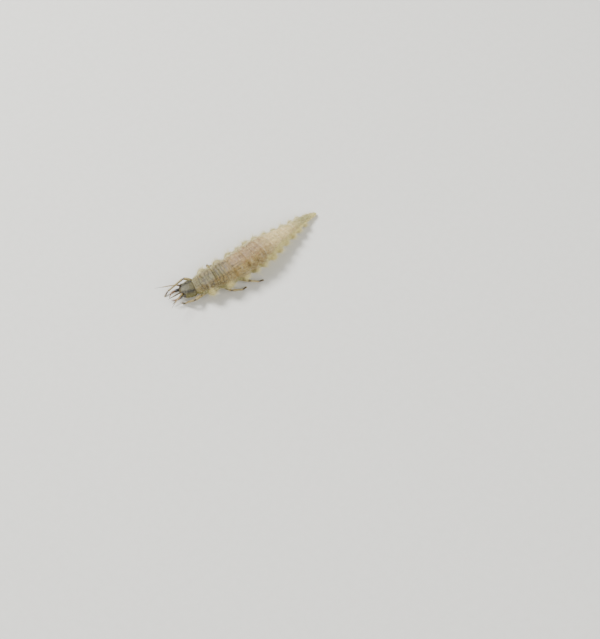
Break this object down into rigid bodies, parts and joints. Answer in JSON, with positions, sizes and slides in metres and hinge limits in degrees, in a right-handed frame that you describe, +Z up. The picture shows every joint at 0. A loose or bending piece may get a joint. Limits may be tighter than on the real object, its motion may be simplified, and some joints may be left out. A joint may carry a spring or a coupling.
{
  "type": "lacewing larva",
  "caption": "Life-size still model of a full-grown green lacewing larva: long tapering body with bristly side tubercles, sickle jaws and six thin legs, standing.",
  "frame": {"origin": "on the surface the larva stands on, under the middle of its overall box", "axes": "+Z up, -Y towards the head, +Y towards the tail, +X towards the larva's left side"},
  "size_m": [0.003, 0.0104, 0.0015],
  "materials": {
    "skin": "soft satin skin, pinkish brown on the back with two rusty stripes, cream sides and tubercles",
    "head_plate": "hard satin plate, pale grey-brown with two dark bands that run to the jaws",
    "eye": "glossy black simple eyes",
    "jaw": "polished amber horn, dark at the base",
    "feeler": "translucent pale horn, darker at the tip",
    "leg": "translucent pale horn with brown joints"
  },
  "bodies": {
    "root": {"neck": "skin", "prothorax": "skin", "mesothorax": "skin", "metathorax": "skin", "abdomen_1": "skin", "abdomen_2": "skin", "abdomen_3": "skin", "abdomen_4": "skin", "abdomen_5": "skin", "abdomen_6": "skin", "abdomen_7": "skin", "abdomen_8": "skin", "abdomen_9": "skin", "abdomen_10": "skin", "head": "head_plate", "eye_left": "eye", "eye_right": "eye", "jaw_left": "jaw", "jaw_right": "jaw", "antenna_left": "feeler", "antenna_right": "feeler", "palp_left": "feeler", "palp_right": "feeler", "leg_front_left": "leg", "leg_front_right": "leg", "leg_middle_left": "leg", "leg_middle_right": "leg", "leg_hind_left": "leg", "leg_hind_right": "leg"}
  },
  "joints": []
}
